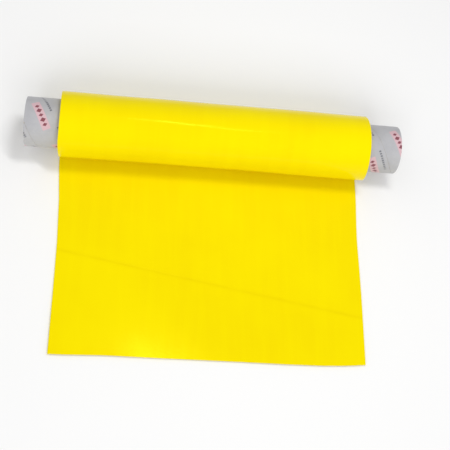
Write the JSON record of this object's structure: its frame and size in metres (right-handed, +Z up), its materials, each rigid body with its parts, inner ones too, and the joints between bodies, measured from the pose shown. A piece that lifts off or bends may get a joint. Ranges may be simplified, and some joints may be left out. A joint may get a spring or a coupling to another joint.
{
  "type": "roll of vinyl sheet",
  "caption": "Small roll of glossy yellow vinyl sheet on a longer printed paperboard core, its free end laid out flat in front of it.",
  "frame": {"origin": "on the surface the roll lies on, below the middle of the whole object", "axes": "+X along the roll's axis, +Z up from the surface, the free end points to -Y and the roll lies at +Y"},
  "size_m": [0.252, 0.1718, 0.0433],
  "materials": {
    "vinyl": "gloss",
    "core_board": "matte",
    "core_print": "satin",
    "tape": "satin"
  },
  "bodies": {
    "laid": {"laid_sheet": "vinyl"},
    "feed": {"outer_turn": "vinyl", "feed_strip": "vinyl"},
    "roll": {"core_inner_ply": "core_board", "core_middle_ply": "core_board", "core_outer_ply": "core_board", "core_print_ply": "core_print", "starter_tape": "tape", "wound_sheet": "vinyl"},
    "free_end": {"free_end_strip": "vinyl"},
    "free_edge": {"free_end_edge": "vinyl"}
  },
  "joints": [
    {"name": "roll_travel", "type": "slide", "parent": "laid", "child": "feed", "axis": [0, 1, 0], "range_m": [-0.04, 0.136], "deforming": ["feed_strip"]},
    {"name": "roll_turn", "type": "hinge", "parent": "feed", "child": "roll", "pos_m": [0, 0.06427, 0.02165], "axis": [-1, 0, 0], "range_deg": [-106, 360]},
    {"name": "free_end_lift", "type": "hinge", "parent": "laid", "child": "free_end", "pos_m": [0.00075, -0.04372, 0.00065], "axis": [-1, 0, 0], "range_deg": [0, 40]},
    {"name": "free_end_curl", "type": "hinge", "parent": "free_end", "child": "free_edge", "pos_m": [0.00075, -0.06473, 0.00065], "axis": [-1, 0, 0], "range_deg": [0, 40]}
  ],
  "couplings": [
    {"joint": "roll_turn", "follows": "roll_travel", "rad_per_m": 46.189}
  ]
}
